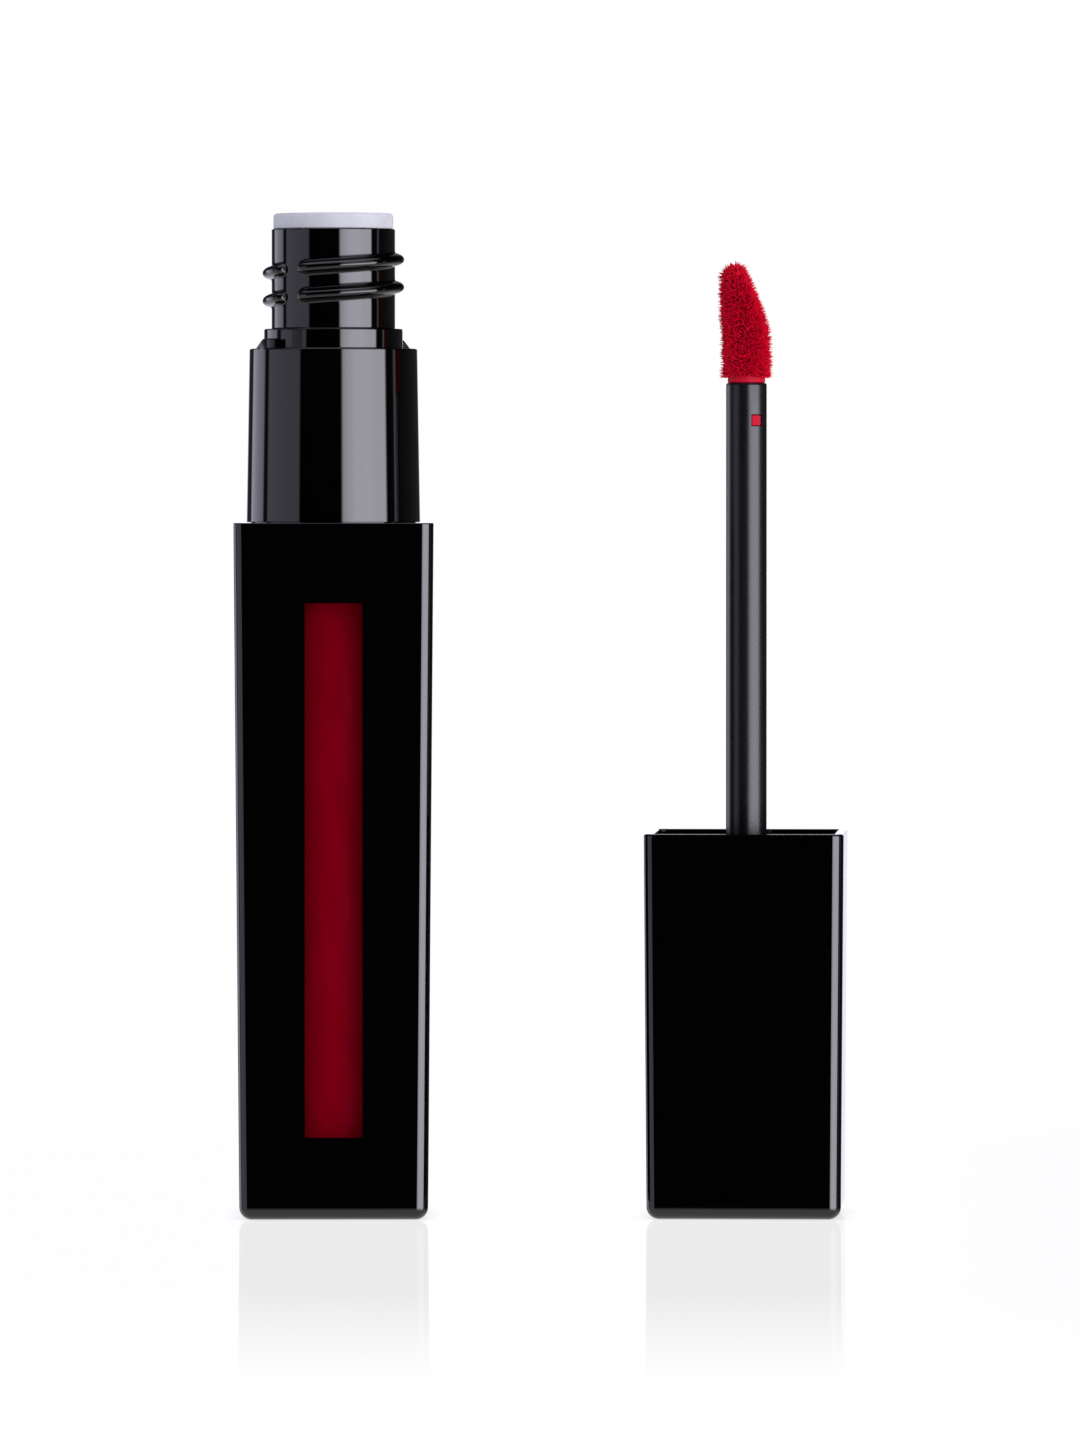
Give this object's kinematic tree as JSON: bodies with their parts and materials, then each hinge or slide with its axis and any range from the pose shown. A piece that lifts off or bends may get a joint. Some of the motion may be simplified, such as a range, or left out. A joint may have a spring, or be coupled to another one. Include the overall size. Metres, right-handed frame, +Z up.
{
  "type": "liquid lip colour case",
  "caption": "Square black lip colour bottle with a clear front window and threaded neck, beside its square screw cap standing on its closed end with a flocked applicator wand.",
  "frame": {"origin": "centre of the bottle's flat base", "axes": "+Z up along the bottle, -Y towards the window side, +X from the bottle to the cap standing beside it"},
  "size_m": [0.0591, 0.02, 0.096],
  "materials": {
    "case_black": "polished gloss",
    "neck_black": "polished gloss",
    "stem_black": "gloss",
    "inner_black": "as moulded",
    "window_clear": "polished clear plastic",
    "vial_clear": "polished clear plastic",
    "lip_red": "wet cream",
    "wiper_milk": "translucent satin",
    "core_red": "satin",
    "flock_red": "flocked fibre",
    "seal_white": "matt foam",
    "weight_steel": "stamped",
    "label_blank": "satin film"
  },
  "bodies": {
    "bottle": {"outer_case": "case_black", "window_lens": "window_clear", "inner_vial": "vial_clear", "lip_colour": "lip_red", "shoulder_neck": "neck_black", "wiper": "wiper_milk"},
    "turning_link": {"end_label": "label_blank"},
    "seal": {"seal_liner": "seal_white"},
    "weight": {"cap_weight": "weight_steel"},
    "cap": {"cap_shell": "case_black", "inner_cap": "inner_black", "stem": "stem_black", "applicator_core": "core_red"},
    "tip": {"flocked_tip": "flock_red"}
  },
  "joints": [
    {"name": "cap_turn_over", "type": "hinge", "parent": "bottle", "child": "turning_link", "pos_m": [0.0198, 0, 0.0952], "axis": [0, -1, 0], "range_deg": [0, 180]},
    {"name": "cap_insert", "type": "slide", "parent": "turning_link", "child": "seal", "axis": [0, 0, 1], "range_m": [0, 0.08177], "deforming": ["lip_colour"]},
    {"name": "thread_travel", "type": "slide", "parent": "seal", "child": "weight", "axis": [0, 0, 1], "range_m": [0, 0.00533]},
    {"name": "cap_turn", "type": "hinge", "parent": "weight", "child": "cap", "pos_m": [0.0396, 0, 0], "axis": [0, 0, 1], "range_deg": [0, 723.7]},
    {"name": "tip_flex", "type": "hinge", "parent": "cap", "child": "tip", "pos_m": [0.0396, 0, 0.0801], "axis": [0, 1, 0], "range_deg": [-12, 12], "stiffness_Nm_per_rad": 0.002, "deforming": ["applicator_core"]}
  ],
  "couplings": [
    {"joint": "thread_travel", "follows": "cap_turn", "m_per_rad": 0.00042176}
  ]
}
